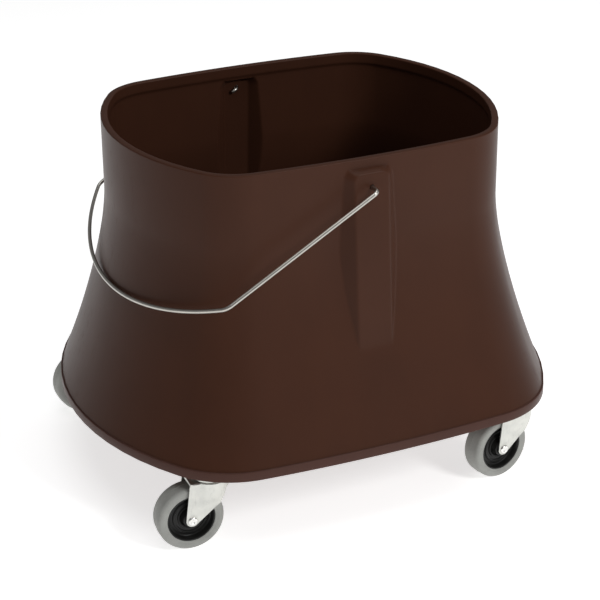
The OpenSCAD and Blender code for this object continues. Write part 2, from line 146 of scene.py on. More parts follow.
class FinishColours(bpy.types.PropertyGroup):
    tub: colour("Tub", "Moulded tub", (0.057, 0.0215, 0.0120))
    tub_dark: colour("Tub shade", "Darker patches of the tub", (0.050, 0.0190, 0.0108))
    pan: colour("Pan", "Moulded pan", (0.074, 0.034, 0.026))
    pan_dark: colour("Pan shade", "Darker patches of the pan", (0.064, 0.030, 0.023))
    tyre: colour("Tyre", "Grey tyre", (0.33, 0.333, 0.312))
    tyre_dark: colour("Tyre shade", "Tread and scuffs of the tyre", (0.24, 0.242, 0.228))
    hub: colour("Hub", "Black hub", (0.010, 0.010, 0.0095))
    zinc: colour("Zinc plate", "Zinc plate on pressed sheet", (0.64, 0.64, 0.60))
    bright: colour("Bright steel", "Drawn and turned steel", (0.86, 0.85, 0.82))
    wire: colour("Wire", "Drawn wire of the bail", (0.52, 0.50, 0.46))
    dull: colour("Dull steel", "Pressed steel out of sight", (0.46, 0.46, 0.44))


class StageSettings(bpy.types.PropertyGroup):
    floor: colour("Floor", "Colour of the floor", (0.93, 0.93, 0.93))
    camera_distance: length("Camera distance", "From the camera to the middle of the tub", 2.31605)
    camera_yaw: FloatProperty(name="Camera yaw", description="Turn of the camera round the tub",
                              default=0.42621, subtype="ANGLE", unit="ROTATION")
    camera_pitch: FloatProperty(name="Camera pitch", description="Height of the camera as an angle",
                                default=0.43248, subtype="ANGLE", unit="ROTATION")
    camera_roll: FloatProperty(name="Camera roll", description="Roll of the camera",
                               default=-0.00786, subtype="ANGLE", unit="ROTATION")


# ---------------------------------------------------------------- finishes

class Shade:
    """A socket of a finish, for shader maths written as expressions."""

    def __init__(self, finish, socket):
        self.finish = finish
        self.socket = socket

    def maths(self, operation, *values):
        return self.finish.node("ShaderNodeMath", {"operation": operation}, dict(enumerate(values)))

    def __add__(self, other):
        return self.maths("ADD", self, other)

    def __sub__(self, other):
        return self.maths("SUBTRACT", self, other)

    def __rsub__(self, other):
        return self.maths("SUBTRACT", other, self)

    def __mul__(self, other):
        return self.maths("MULTIPLY", self, other)

    __radd__ = __add__
    __rmul__ = __mul__


class Finish:
    """A procedural material and the nodes that make it."""

    def __init__(self, name):
        self.material = bpy.data.materials.new(name)
        self.material.use_nodes = True
        self.tree = self.material.node_tree
        self.shader = self.tree.nodes["Principled BSDF"]
        self.place = self.node("ShaderNodeTexCoord", output="Object")

    def node(self, kind, settings=None, inputs=None, output=0):
        node = self.tree.nodes.new(kind)
        for name, value in (settings or {}).items():
            if name == "stops":
                self.set_stops(node.color_ramp, value)
            else:
                setattr(node, name, value)
        for name, value in (inputs or {}).items():
            self.feed(node.inputs[name], value)
        return Shade(self, node.outputs[output])

    def set_stops(self, ramp, stops):
        while len(ramp.elements) < len(stops):
            ramp.elements.new(0.5)
        for element, (place, value) in zip(ramp.elements, stops):
            element.position = place
            element.color = (*value, 1) if hasattr(value, "__len__") else (value, value, value, 1)

    def feed(self, socket, value):
        if isinstance(value, Shade):
            self.tree.links.new(value.socket, socket)
        elif hasattr(value, "__len__") and socket.type == "RGBA":
            socket.default_value = (*value, 1)
        else:
            socket.default_value = value

    def set(self, **inputs):
        for name, value in inputs.items():
            self.feed(self.shader.inputs[name.replace("_", " ")], value)

    def stretched(self, x, y, z):
        """Object coordinates, closer together along some axes."""
        return self.node("ShaderNodeMapping", inputs={"Vector": self.place, "Scale": (x, y, z)})

    def noise(self, scale, detail=4.0, roughness=0.5, place=None, distortion=0.0):
        return self.node("ShaderNodeTexNoise", inputs={
            "Vector": place or self.place, "Scale": scale, "Detail": detail,
            "Roughness": roughness, "Distortion": distortion})

    def ramp(self, value, *stops):
        return self.node("ShaderNodeValToRGB", {"stops": stops}, {"Fac": value})

    def mix(self, share, first, second, blend="MIX"):
        return self.node("ShaderNodeMix", {"data_type": "RGBA", "blend_type": blend},
                         {"Factor": share, 6: first, 7: second}, output=2)

    def bump(self, height, strength, distance, under=None):
        inputs = {"Height": height, "Strength": strength, "Distance": distance}
        if under is not None:
            inputs["Normal"] = under
        return self.node("ShaderNodeBump", inputs=inputs)


def scratches(finish, count, along):
    """Fine straight scratches as a mask. along is the stretch of the pattern on each axis."""
    streaks = finish.noise(count, 3.0, 0.6, finish.stretched(*along))
    return finish.ramp(streaks, (0.58, 0.0), (0.66, 1.0))


def moulded_plastic(name, main, shade):
    """Satin moulded plastic, with a fine grain, faint patches and a few faint scuffs."""
    finish = Finish(name)
    patches = finish.ramp(finish.noise(9.0, 5.0, 0.55), (0.35, 0.0), (0.68, 1.0))
    flow = finish.ramp(finish.noise(22.0, 3.0, 0.6, finish.stretched(1, 1, 0.25)),
                       (0.40, 0.0), (0.62, 1.0))
    scuffs = scratches(finish, 140.0, (1.0, 1.0, 0.4))
    finish.set(Base_Color=finish.mix(patches * 0.7 + flow * 0.3, main, shade),
               Roughness=patches * 0.04 + scuffs * 0.04 + 0.36,
               Specular_IOR_Level=0.09)
    soft = finish.bump(finish.noise(30.0, 2.0, 0.4), 0.10, 0.0005)
    finish.set(Normal=finish.bump(finish.noise(900.0, 2.0, 0.5), 0.12, 0.0002, soft))
    return finish.material


def tub_plastic(colours):
    return moulded_plastic("tub_chocolate_plastic", colours.tub, colours.tub_dark)


def pan_plastic(colours):
    return moulded_plastic("pan_chocolate_plastic", colours.pan, colours.pan_dark)


def steel(name, main, shade, rough, streaks, cloud=0.6):
    """Bare or plated steel with a cloudy finish and fine drawing marks."""
    finish = Finish(name)
    clouds = finish.ramp(finish.noise(60.0, 5.0, 0.6), (0.36, 0.0), (0.66, 1.0))
    marks = finish.noise(240.0, 4.0, 0.65, finish.stretched(*streaks))
    fine = scratches(finish, 420.0, streaks)
    finish.set(Base_Color=finish.mix(clouds * cloud + fine * cloud * 0.4, main, shade),
               Metallic=1.0,
               Roughness=clouds * cloud * 0.16 + marks * 0.08 + fine * cloud * 0.16 + rough)
    finish.set(Normal=finish.bump(marks, 0.06, 0.0001))
    return finish.material


def zinc_plate(colours):
    return steel("bright_zinc_plate", colours.zinc, (0.50, 0.505, 0.48), 0.30, (1, 1, 0.2))


def drawn_wire(colours):
    return steel("drawn_bail_wire", colours.wire, (0.42, 0.40, 0.37), 0.24, (0.15, 1, 0.3), 0.3)


def bright_steel(colours):
    return steel("turned_bright_steel", colours.bright, (0.70, 0.70, 0.69), 0.18, (1, 1, 1))


def pressed_steel(colours):
    return steel("dull_pressed_steel", colours.dull, (0.34, 0.34, 0.33), 0.42, (1, 1, 0.3))


def spring_steel(colours):
    return steel("dark_spring_steel", (0.40, 0.40, 0.40), (0.26, 0.26, 0.27), 0.32, (1, 1, 3))


def ball_steel(colours):
    return steel("polished_ball_steel", (0.88, 0.88, 0.88), (0.78, 0.78, 0.79), 0.06, (1, 1, 1))


def grey_rubber(colours):
    """Non-marking grey rubber: a fine matt grain, grime on the tread and faint mould marks."""
    finish = Finish("grey_tyre_rubber")
    clouds = finish.ramp(finish.noise(45.0, 6.0, 0.62), (0.34, 0.0), (0.68, 1.0))
    specks = finish.ramp(finish.noise(650.0, 2.0, 0.5), (0.57, 0.0), (0.70, 1.0))
    finish.set(Base_Color=finish.mix(clouds * 0.55 + specks * 0.3, colours.tyre, colours.tyre_dark),
               Roughness=clouds * 0.12 + specks * 0.08 + 0.55,
               Specular_IOR_Level=0.35)
    soft = finish.bump(finish.noise(120.0, 4.0, 0.6), 0.35, 0.0004)
    finish.set(Normal=finish.bump(finish.noise(1200.0, 2.0, 0.5), 0.22, 0.0002, soft))
    return finish.material


def hub_plastic(colours):
    """Black moulded plastic with a little dust."""
    finish = Finish("black_hub_plastic")
    dust = finish.ramp(finish.noise(70.0, 6.0, 0.65), (0.48, 0.0), (0.74, 1.0))
    finish.set(Base_Color=finish.mix(dust * 0.25, colours.hub, (0.035, 0.034, 0.031)),
               Roughness=dust * 0.22 + 0.30,
               Specular_IOR_Level=0.25)
    finish.set(Normal=finish.bump(finish.noise(700.0, 2.0, 0.5), 0.15, 0.0002))
    return finish.material


def pale_floor(colours):
    """A plain pale floor with a barely visible tooth."""
    finish = Finish("pale_floor")
    tooth = finish.noise(35.0, 3.0, 0.5)
    finish.set(Base_Color=finish.mix(tooth * 0.08, colours, (0.88, 0.88, 0.88)),
               Roughness=tooth * 0.1 + 0.75, Specular_IOR_Level=0.1,
               Emission_Color=(1.0, 1.0, 1.0), Emission_Strength=0.66)
    return finish.material


FINISHES = {
    "brown_plastic": tub_plastic,
    "pan_plastic": pan_plastic,
    "bail_wire": drawn_wire,
    "zinc_plate": zinc_plate,
    "bright_steel": bright_steel,
    "pressed_steel": pressed_steel,
    "spring_steel": spring_steel,
    "ball_steel": ball_steel,
    "hub_plastic": hub_plastic,
    "grey_tyre": grey_rubber,
}
made_finishes = {}


def finish_for(slot):
    """The finish of one of the record's material slots, made once."""
    if slot not in made_finishes:
        made_finishes[slot] = FINISHES[slot](bpy.context.scene.bucket_colours)
    return made_finishes[slot]


# ---------------------------------------------------------------- mesh helpers

def add_piece(name, bm, body, slot, replaced, sharp=40):
    """Makes a piece of the bmesh and ties it to the frame."""
    bmesh.ops.recalc_face_normals(bm, faces=bm.faces[:])
    mesh = bpy.data.meshes.new(name)
    bm.to_mesh(mesh)
    bm.free()
    mesh.shade_smooth()
    mesh.set_sharp_from_angle(angle=math.radians(sharp))
    mesh.materials.append(finish_for(slot))
    piece = bpy.data.objects.new(name, mesh)
    bpy.context.scene.collection.objects.link(piece)
    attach(piece, body)
    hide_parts(*replaced)
    return piece


def edges_where(bm, test):
    return [edge for edge in bm.edges if all(test(vert.co) for vert in edge.verts)]


def soften(bm, edges, width, segments=2):
    bmesh.ops.bevel(bm, geom=edges, offset=width, offset_type="OFFSET", segments=segments,
                    profile=0.5, affect="EDGES", material=-1, clamp_overlap=True)


def arc_points(centre, radius, start, end, steps):
    """Points on an arc, both ends included. Angles are in degrees."""
    angles = [math.radians(start + (end - start) * i / steps) for i in range(steps + 1)]
    return [(centre[0] + radius * math.cos(a), centre[1] + radius * math.sin(a)) for a in angles]


def turn_profile(bm, profile, steps, closed=True):
    """Spins an outline of (radius, height) points about Z."""
    verts = [bm.verts.new((radius, 0, height)) for radius, height in profile]
    followers = verts[1:] + verts[:1] if closed else verts[1:]
    edges = [bm.edges.new(pair) for pair in zip(verts, followers)]
    bmesh.ops.spin(bm, geom=verts + edges, cent=(0, 0, 0), axis=(0, 0, 1), dvec=(0, 0, 0),
                   angle=math.tau, steps=steps, use_merge=True)
    bmesh.ops.remove_doubles(bm, verts=bm.verts[:], dist=0.002 * MM)


def smooth_step(value, low, high):
    share = min(max((value - low) / (high - low), 0), 1)
    return share * share * (3 - 2 * share)


def smooth_max(a, b, blend):
    share = max(blend - abs(a - b), 0) / blend
    return max(a, b) + share * share * blend / 4


# ---------------------------------------------------------------- the tub's outline

class Outline:
    """A rounded rectangle whose ends, corners and sides are tangent arcs."""

    def __init__(self, half_length, half_width, corner, end_bow, side_bow):
        self.corner_at = Vector((half_length - corner - end_bow, half_width - corner - side_bow))
        cx, cy = self.corner_at
        self.corner = corner
        self.end_radius = ((half_length - cx) ** 2 + cy ** 2 - corner ** 2) / (2 * end_bow)
        self.side_radius = ((half_width - cy) ** 2 + cx ** 2 - corner ** 2) / (2 * side_bow)
        self.end_at = Vector((half_length - self.end_radius, 0))
        self.side_at = Vector((0, half_width - self.side_radius))
        self.end_angle = math.asin(cy / (self.end_radius - corner))
        self.side_angle = math.acos(cx / (self.side_radius - corner))

    def quarter(self, end_steps, corner_steps, side_shares):
        """Points from the end's middle to the side's middle, both included."""
        spans = (
            (self.end_at, self.end_radius, 0, self.end_angle, shares(end_steps)),
            (self.corner_at, self.corner, self.end_angle, self.side_angle, shares(corner_steps)),
            (self.side_at, self.side_radius, self.side_angle, math.pi / 2, side_shares),
        )
        points = []
        for centre, radius, start, end, parts in spans:
            for share in parts:
                angle = start + (end - start) * share
                points.append(centre + radius * Vector((math.cos(angle), math.sin(angle))))
        return points

    def loop(self, end_steps, corner_steps, side_shares):
        """The whole outline, anticlockwise, with its first point repeated at the end."""
        one = self.quarter(end_steps, corner_steps, side_shares)
        two = [Vector((-p.x, p.y)) for p in reversed(one[:-1])]
        half = one + two
        other = [Vector((-p.x, -p.y)) for p in half[1:]]
        return half + other


def shares(steps):
    """Even shares of a span, without its end."""
    return [i / steps for i in range(steps)]


def side_shares(parts):
    """Shares of a long side, in runs of (end of the run, steps), with the end included."""
    values = []
    start = 0.0
    for end, steps in parts:
        values += [start + (end - start) * i / steps for i in range(steps)]
        start = end
    return values + [1.0]


END_STEPS = 7
CORNER_STEPS = 14
# The long sides are finer round the ears
SIDE_RUNS = ((0.72, 9), (0.90, 16), (0.96, 4), (1.0, 3))


def rim_outline(tub, inset):
    return Outline(tub.rim_length / 2 - inset, tub.rim_width / 2 - inset, tub.rim_corner - inset,
                   tub.rim_end_bow, tub.side_bow)


def base_outline(tub, inset):
    return Outline(PAN_HIGH.x - inset, PAN_HIGH.y - inset, tub.base_corner - inset,
                   tub.base_end_bow, tub.side_bow)


def outline_loop(outline):
    return outline.loop(END_STEPS, CORNER_STEPS, side_shares(SIDE_RUNS))


def loft(bm, loops):
    """Lays a grid over closed loops of points, one loop for each row."""
    columns, rows = len(loops[0]) - 1, len(loops) - 1
    grid = bmesh.ops.create_grid(bm, x_segments=columns, y_segments=rows, size=0.5)["verts"]
    for vert in grid:
        column = round((vert.co.x + 0.5) * columns)
        row = round((vert.co.y + 0.5) * rows)
        vert.co = loops[row][column]
    bmesh.ops.remove_doubles(bm, verts=grid, dist=0.01 * MM)


# ---------------------------------------------------------------- the tub

SHELL_RUNS = ((0.025, 16), (0.037, 8), (0.233, 52), (0.330, 24))
FLARE_POWER = 1.5


def shell_levels():
    """Heights of the shell's rows, from the rim down, close together round the ears."""
    top = SHELL_HIGH.z
    levels = [top]
    start = 0.0
    for end, steps in SHELL_RUNS:
        levels += [top - (start + (end - start) * (i + 1) / steps) for i in range(steps)]
        start = end
    return levels


def shell_loop(tub, height, inset):
    """The shell's outline at a height, between the rim's outline and the base's."""
    seam, flare = SHELL_LOW.z, SHELL_HIGH.z - tub.straight
    spread = PAN_HIGH.x - tub.rim_length / 2
    share = max((flare - height) / (flare - seam), 0) ** FLARE_POWER * (1 - tub.band_proud / spread)
    rim = outline_loop(rim_outline(tub, inset))
    base = outline_loop(base_outline(tub, inset))
    return [(*a.lerp(b, share), height) for a, b in zip(rim, base)]


def ear_reach(tub, x, z, inset):
    """Distance of an ear's surface from the tub's middle plane."""
    ear_top = SHELL_HIGH.z - tub.ear_drop
    face = tub.rim_width / 2 + tub.ear_proud + (ear_top - z) * math.tan(tub.ear_slope) - inset
    half = tub.ear_width / 2 - 0.7 * inset
    draft = 1.0
    top_draft = 3.0
    across = abs(x) - (half - tub.ear_corner)
    up = z - (ear_top - 1.5 * MM - inset - tub.ear_corner)
    outside = math.hypot(max(across, 0), max(up, 0)) - tub.ear_corner
    outside = max(outside + min(max(across, up), 0), 0)
    steep = draft + (top_draft - draft) * smooth_step(up - max(across, 0), 0, tub.ear_corner)
    rounding = 0.4 * MM
    return face - steep * (math.hypot(outside, rounding) - rounding)


def skin_loop(tub, level, inset):
    """The outline of one skin of the shell at a height, with its ears raised."""
    loop = []
    for x, y, z in shell_loop(tub, level, inset):
        if abs(x) < tub.ear_width and abs(y) > tub.rim_width / 4:
            raised = smooth_max(abs(y), ear_reach(tub, x, z, inset), 0.5 * MM)
            y = math.copysign(raised, y)
        loop.append((x, y, z))
    return loop


def lining_inset(tub, level):
    """Depth of the inner skin, which carries the thick lip."""
    lip_low = SHELL_HIGH.z - tub.lip_height
    thick = smooth_step(level, lip_low - 4 * MM, lip_low)
    return tub.wall + (tub.lip_wall - tub.wall) * thick


def hole_rim(bm, side, outside, tub):
    """Opens a bail hole through one skin, and returns its edges."""
    reach = 3.1 * MM
    middle_y = ear_reach(tub, 0, PIVOT.z, 0.0) - tub.wall / 2
    patch = []
    for face in bm.faces:
        middle = face.calc_center_median()
        near = abs(middle.x) < 3.6 * MM and abs(middle.z - PIVOT.z) < reach
        if near and middle.y * side > 0 and (middle.y * side > middle_y) == outside:
            patch.append(face)
    rim = {edge for face in patch for edge in face.edges}
    bmesh.ops.delete(bm, geom=patch, context="FACES")
    rim = [edge for edge in rim if edge.is_valid and edge.is_boundary]
    for vert in {vert for edge in rim for vert in edge.verts}:
        away = Vector((vert.co.x, vert.co.z - PIVOT.z)).normalized() * tub.hole_radius
        vert.co.x = away.x
        vert.co.z = PIVOT.z + away.y
    return rim


def line_hole(bm, outer_rim, inner_rim):
    """Joins a hole's two rims with a short sleeve."""
    inner = list({vert for edge in inner_rim for vert in edge.verts})
    grown = bmesh.ops.extrude_edge_only(bm, edges=outer_rim)["geom"]
    sleeve = [item for item in grown if isinstance(item, bmesh.types.BMVert)]
    depth = sum(vert.co.y for vert in inner) / len(inner)
    for vert in sleeve:
        vert.co.y = depth
    bmesh.ops.remove_doubles(bm, verts=sleeve + inner, dist=0.55 * MM)


class BUCKET_OT_tub(bpy.types.Operator):
    """Make the flared tub with its lip, its two ears and the holes for the bail"""
    bl_idname = "bucket.tub"
    bl_label = "Tub"

    def execute(self, context):
        tub = context.scene.bucket_tub
        levels = shell_levels()
        outside = [skin_loop(tub, level, 0.0) for level in levels]
        inside = [skin_loop(tub, level, lining_inset(tub, level)) for level in reversed(levels)]
        bm = bmesh.new()
        loft(bm, outside + inside + outside[:1])
        for side in (1, -1):
            line_hole(bm, hole_rim(bm, side, True, tub), hole_rim(bm, side, False, tub))
        lip = [edge for edge in edges_where(bm, lambda co: abs(co.z - SHELL_HIGH.z) < 0.01 * MM)
               if edge.calc_face_angle(0) > 1]
        soften(bm, lip, 1.3 * MM, 3)
        add_piece("tub_shell", bm, "bucket", "brown_plastic", ["bell_shell"], sharp=50)
        return {"FINISHED"}


class BUCKET_OT_pan(bpy.types.Operator):
    """Make the base pan with its band, its locating rib and its caster bosses"""
    bl_idname = "bucket.pan"
    bl_label = "Base pan"

    def execute(self, context):
        tub = context.scene.bucket_tub
        low = PAN_LOW.z
        band_top = low + tub.band_height
        rib_in, rib_wide = 10.5 * MM, 4 * MM
        rings = ((0.0, low), (0.0, band_top), (rib_in, band_top),
                 (rib_in, band_top + tub.rib_height), (rib_in + rib_wide, band_top + tub.rib_height),
                 (rib_in + rib_wide, low + tub.floor))
        bm = bmesh.new()
        loft(bm, [[(*p, z) for p in outline_loop(base_outline(tub, inset))] for inset, z in rings])
        bmesh.ops.holes_fill(bm, edges=[edge for edge in bm.edges if edge.is_boundary])
        corners = [edge for edge in bm.edges if edge.calc_face_angle(0) > 1]
        soften(bm, corners, 1.1 * MM, 3)
        for corner in CORNERS:
            self.add_boss(bm, tub, low, Vector(JOINTS[corner + "_swivel_turn"]["pos_m"]))
        add_piece("base_pan_moulding", bm, "bucket", "pan_plastic", ["base_pan"], sharp=45)
        return {"FINISHED"}

    def add_boss(self, bm, tub, low, centre):
        """A boss over a caster's socket, and its four gussets"""
        floor_z = low + tub.floor
        tall = tub.boss_top - floor_z + 1 * MM
        place = Matrix.Translation((centre.x, centre.y, tub.boss_top - tall / 2))
        boss = bmesh.ops.create_cone(bm, cap_ends=True, segments=48, radius1=tub.boss_radius + 0.3 * MM,
                                     radius2=tub.boss_radius, depth=tall, matrix=place)["verts"]
        top = [edge for edge in bm.edges
               if all(v in boss and v.co.z > tub.boss_top - 0.01 * MM for v in edge.verts)]
        soften(bm, top, 1.5 * MM, 3)
        foot, thick = 22 * MM, 5 * MM
        for turn in range(4):
            spin = Matrix.Rotation(math.radians(45 + 90 * turn), 4, "Z")
            place = Matrix.Translation((centre.x, centre.y, 0)) @ spin
            start = tub.boss_radius - 1.5 * MM
            wide = foot - start
            web_low, web_high = floor_z - 1 * MM, low + (tub.boss_top - low) * 0.8
            box = Matrix.Translation((start + wide / 2, 0, (web_low + web_high) / 2))
            size = Matrix.Diagonal((wide, thick, web_high - web_low, 1))
            web = bmesh.ops.create_cube(bm, size=1, matrix=box @ size)["verts"]
            for vert in web:
                if vert.co.z > web_low + 1 * MM and vert.co.x > start + 1 * MM:
                    vert.co.x = start + 2 * MM
                if vert.co.z < web_high - 1 * MM and vert.co.x > start + 1 * MM:
                    vert.co.z = web_low
            edges = list({edge for vert in web for edge in vert.link_edges})
            bmesh.ops.transform(bm, matrix=place, verts=web)
            soften(bm, edges, 0.8 * MM, 2)


# ---------------------------------------------------------------- the bail

def draw_on(bm, tip, by):
    """Draws the open end of a wire straight on, and returns its new open end."""
    grown = bmesh.ops.extrude_edge_only(bm, edges=tip)["geom"]
    verts = [item for item in grown if isinstance(item, bmesh.types.BMVert)]
    bmesh.ops.translate(bm, vec=by, verts=verts)
    return [item for item in grown if isinstance(item, bmesh.types.BMEdge)]


def bend_on(bm, tip, centre, angle, steps):
    """Bends the open end of a wire round a centre in the XY plane."""
    verts = list({vert for edge in tip for vert in edge.verts})
    grown = bmesh.ops.spin(bm, geom=verts + tip, cent=(*centre, 0), axis=(0, 0, 1), dvec=(0, 0, 0),
                           angle=angle, steps=steps, use_merge=False)["geom_last"]
    return [item for item in grown if isinstance(item, bmesh.types.BMEdge)]


class BUCKET_OT_bail(bpy.types.Operator):
    """Make the wire bail, bent from one length of round wire"""
    bl_idname = "bucket.bail"
    bl_label = "Bail"

    def execute(self, context):
        sizes = context.scene.bucket_bail
        radius = sizes.wire / 2
        half = BAIL_HIGH.y - radius
        tilt = math.acos((-BAIL_LOW.x - radius) / sizes.reach)
        lean = math.atan(sizes.lean / sizes.arm)
        along = Vector((math.cos(lean), -math.sin(lean)))
        across = Vector((-math.sin(lean), -math.cos(lean)))
        elbow_at = Vector((sizes.elbow, half - sizes.elbow))
        arm_start = elbow_at - sizes.elbow * across
        sag = sizes.reach - sizes.arm
        grip_radius = ((half - sizes.lean) ** 2 + sag ** 2) / (2 * sag)
        grip_at = Vector((sizes.reach - grip_radius, 0))
        line = arm_start + across * sizes.bend - grip_at
        flat = line.dot(along)
        run = math.sqrt(flat ** 2 + (grip_radius - sizes.bend) ** 2 - line.dot(line)) - flat
        bend_at = grip_at + line + along * run
        grip_angle = math.atan2(bend_at.y, bend_at.x - grip_at.x)
        hook_radius = sizes.wire * 0.9
        hook_y = self.hook_line(context.scene.bucket_tub, radius)

        bm = bmesh.new()
        start = Matrix.Translation((sizes.hook - 1 * MM, hook_y, 0))
        start @= Matrix.Rotation(math.pi / 2, 4, "Y")
        bmesh.ops.create_circle(bm, cap_ends=False, segments=sizes.sides, radius=radius, matrix=start)
        tip = bm.edges[:]
        self.round_end(bm, tip, hook_y)
        tip = draw_on(bm, tip, (hook_radius - sizes.hook + 1 * MM, 0, 0))
        tip = bend_on(bm, tip, (hook_radius, hook_y + hook_radius), -math.pi / 2, 8)
        tip = draw_on(bm, tip, (0, elbow_at.y - hook_y - hook_radius, 0))
        tip = bend_on(bm, tip, elbow_at, -(math.pi / 2 + lean), 10)
        tip = draw_on(bm, tip, (*(along * run), 0))
        tip = bend_on(bm, tip, bend_at, grip_angle - (math.pi / 2 - lean), 10)
        bend_on(bm, tip, grip_at, -grip_angle, 28)
        for vert in bm.verts:
            if abs(vert.co.y) < 0.05 * MM and vert.co.x > sizes.arm:
                vert.co.y = 0
        bmesh.ops.mirror(bm, geom=bm.verts[:] + bm.edges[:] + bm.faces[:], axis="Y",
                         merge_dist=0.01 * MM)
        bmesh.ops.remove_doubles(bm, verts=bm.verts[:], dist=0.01 * MM)
        parked = Matrix.Rotation(-tilt, 4, "Y") @ Matrix.Rotation(math.pi, 4, "Z")
        bmesh.ops.transform(bm, matrix=Matrix.Translation(PIVOT) @ parked, verts=bm.verts[:])
        add_piece("bail_wire", bm, "bail", "bail_wire", ["bail_handle"])
        return {"FINISHED"}

    def hook_line(self, tub, radius):
        """Distance of the hook inside an ear from the tub's middle plane"""
        ear_top = SHELL_HIGH.z - tub.ear_drop
        face = tub.rim_width / 2 + tub.ear_proud + (ear_top - PIVOT.z) * math.tan(tub.ear_slope)
        return face - tub.wall - radius - 0.6 * MM

    def round_end(self, bm, tip, hook_y):
        """A slightly domed end on the wire's tip"""
        for reach, share in ((0.6 * MM, 0.8), (0.4 * MM, 0.45)):
            tip = draw_on(bm, tip, (reach, 0, 0))
            verts = list({vert for edge in tip for vert in edge.verts})
            middle = Vector((verts[0].co.x, hook_y, 0))
            scale = share if reach > 0.5 * MM else share / 0.8
            bmesh.ops.scale(bm, vec=(1, scale, scale), space=Matrix.Translation(-middle), verts=verts)
        bmesh.ops.holes_fill(bm, edges=tip)


# ---------------------------------------------------------------- the casters

class Caster:
    """Where one caster stands: its corner, its heading and its axle."""

    def __init__(self, corner):
        self.corner = corner
        swivel = Vector(JOINTS[corner + "_swivel_turn"]["pos_m"])
        axle = JOINTS[corner + "_wheel_spin"]
        heading = math.atan2(-axle["axis"][0], axle["axis"][1])
        self.trail = (Vector(axle["pos_m"]).xy - swivel.xy).length
        self.axle_z = axle["pos_m"][2]
        self.swivel_place = (Matrix.Translation((swivel.x, swivel.y, 0))
                             @ Matrix.Rotation(heading, 4, "Z"))
        # Z of a turned piece lies along the axle, towards the bolt's head
        self.axle_place = (self.swivel_place @ Matrix.Translation((-self.trail, 0, self.axle_z))
                           @ Matrix.Rotation(math.pi / 2, 4, "X"))


def fork_reach(sizes):
    """Distances of a leg's inner and outer faces from the wheel's middle plane."""
    inner = sizes.hub_width / 2 + sizes.side_gap
    return inner, inner + sizes.sheet


def leg_flat(sizes):
    return math.sqrt(sizes.crown_radius ** 2 - fork_reach(sizes)[1] ** 2)


def touch_angle(centre, radius, point, side):
    """Angle at which the line from a point touches a circle."""
    away = Vector(point) - Vector(centre)
    return math.atan2(away.y, away.x) + side * math.acos(radius / away.length)


def keep_below(bm, at, normal):
    """Cuts away what lies beyond a plane that stands on the XZ plane."""
    bmesh.ops.bisect_plane(bm, geom=bm.verts[:] + bm.edges[:] + bm.faces[:], dist=0.001 * MM,
                           plane_co=(at[0], 0, at[1]), plane_no=(normal[0], 0, normal[1]),
                           clear_outer=True)


def leg_sheet(sizes, caster):
    """A flat leg in the XZ plane, cut from a grid by its edges."""
    bm = bmesh.new()
    tip = Vector((-caster.trail, caster.axle_z))
    heel = Vector((-caster.trail - 1.5 * MM, sizes.crown_low + sizes.crown_thick))
    front = leg_flat(sizes)
    knee = Vector((front - 8 * MM, sizes.crown_low - 27 * MM))
    skirt_low = Vector((front, sizes.crown_low + sizes.crown_thick - sizes.skirt))
    low = Vector((tip.x - sizes.tip_radius, tip.y - sizes.tip_radius))
    high = Vector((front, sizes.crown_low))
    middle, size = (low + high) / 2, high - low
    place = (Matrix.Translation((middle.x, 0, middle.y)) @ Matrix.Rotation(math.pi / 2, 4, "X")
             @ Matrix.Diagonal((size.x, size.y, 1, 1)))
    bmesh.ops.create_grid(bm, x_segments=34, y_segments=36, size=0.5, matrix=place)
    first = touch_angle(tip, sizes.tip_radius, heel, 1) - math.tau
    last = touch_angle(tip, sizes.tip_radius, knee, -1)
    first += math.tau if first < -math.tau * 0.75 else 0
    turns = 14
    for i in range(turns + 1):
        angle = first + (last - first) * i / turns
        normal = Vector((math.cos(angle), math.sin(angle)))
        keep_below(bm, tip + sizes.tip_radius * normal, normal)
    edge = (skirt_low - knee).normalized()
    keep_below(bm, knee, Vector((edge.y, -edge.x)))
    return bm


def press_leg(bm, sizes, caster):
    """Bends the leg out to the round crown, and dimples it round the axle."""
    outer = fork_reach(sizes)[1]
    for vert in bm.verts:
        x, z = vert.co.x, vert.co.z
        round_out = math.sqrt(max(sizes.crown_radius ** 2 - x * x, 0)) - outer
        rise = smooth_step(z, sizes.crown_low - 34 * MM, sizes.crown_low - 4 * MM)
        vert.co.y += max(round_out, 0) * rise
        from_axle = math.hypot(x + caster.trail, z - caster.axle_z)
        vert.co.y += 0.7 * MM * (1 - smooth_step(from_axle, 5.8 * MM, 8.6 * MM))


def tidy_rim(bm):
    """Merges the slivers that the cuts leave along the leg's edge."""
    rim = list({vert for edge in bm.edges if edge.is_boundary for vert in edge.verts})
    found = bmesh.ops.find_doubles(bm, verts=bm.verts[:], keep_verts=rim, dist=0.45 * MM)
    bmesh.ops.weld_verts(bm, targetmap=found["targetmap"])
    rim = list({vert for edge in bm.edges if edge.is_boundary for vert in edge.verts})
    bmesh.ops.remove_doubles(bm, verts=rim, dist=0.35 * MM)


